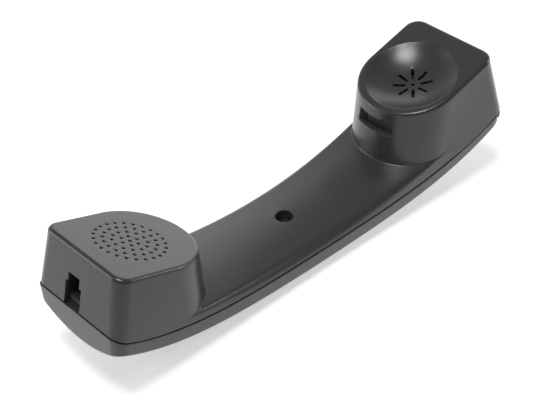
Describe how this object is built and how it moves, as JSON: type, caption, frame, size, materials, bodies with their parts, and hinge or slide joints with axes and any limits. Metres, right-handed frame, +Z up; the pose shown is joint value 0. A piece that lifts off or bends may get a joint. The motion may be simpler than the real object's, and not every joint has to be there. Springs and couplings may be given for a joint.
{
  "type": "telephone handset",
  "caption": "Corded telephone handset with a flat perforated mouthpiece, a dished earpiece, a curved grip and a jack for its cord.",
  "frame": {"origin": "under the middle of the bounding box, on the surface that the handset lies on", "axes": "+X from the mouthpiece to the earpiece, +Z up, away from the crowned back, +Y across the grip"},
  "size_m": [0.2024, 0.048, 0.0569],
  "materials": {
    "shell_plastic": "satin charcoal moulding, fine grain",
    "screw_steel": "zinc plated",
    "ballast_steel": "mill finish",
    "tape": "foam tape",
    "acoustic_cloth": "fine black mesh",
    "foam_seal": "closed foam",
    "black_plastic": "matte black",
    "diaphragm_film": "clear amber film",
    "coil_copper": "enamelled copper",
    "pole_steel": "zinc plated",
    "magnet_nickel": "nickel plated",
    "circuit_board": "bare laminate",
    "suppressor_coat": "epoxy coat",
    "boot_rubber": "matte",
    "can_aluminium": "drawn",
    "jack_plastic": "matte black",
    "contact_gold": "gold plated",
    "lead_insulation": "vinyl insulation"
  },
  "bodies": {
    "casing": {"front_housing": "shell_plastic", "back_cover": "shell_plastic", "grip_screw": "screw_steel", "ballast_bar": "ballast_steel", "ballast_tape": "tape", "receiver_cloth": "acoustic_cloth", "receiver_seal": "foam_seal", "receiver_cap": "black_plastic", "receiver_surround": "diaphragm_film", "receiver_pole_plate": "pole_steel", "receiver_magnet": "magnet_nickel", "receiver_yoke": "pole_steel", "receiver_frame": "black_plastic", "receiver_board": "circuit_board", "surge_suppressor": "suppressor_coat", "receiver_retainer": "black_plastic", "retainer_screws": "screw_steel", "mic_cloth": "acoustic_cloth", "mic_boot": "boot_rubber", "mic_felt": "acoustic_cloth", "mic_can": "can_aluminium", "mic_board": "circuit_board", "jack_body": "jack_plastic", "jack_leads": "contact_gold", "jack_board": "circuit_board", "receiver_leads": "lead_insulation", "mic_leads": "lead_insulation"},
    "diaphragm": {"receiver_dome": "diaphragm_film", "voice_coil": "coil_copper"},
    "contacts": {"jack_contacts": "contact_gold"}
  },
  "joints": [
    {"name": "diaphragm_travel", "type": "slide", "parent": "casing", "child": "diaphragm", "axis": [-0.284, 0, 0.9588], "range_m": [-0.0003, 0.0003], "stiffness_N_per_m": 3000},
    {"name": "jack_contacts_flex", "type": "hinge", "parent": "casing", "child": "contacts", "pos_m": [-0.094, 0.0022, 0.0335], "axis": [0, 1, 0], "range_deg": [0, 12], "stiffness_Nm_per_rad": 0.02}
  ]
}
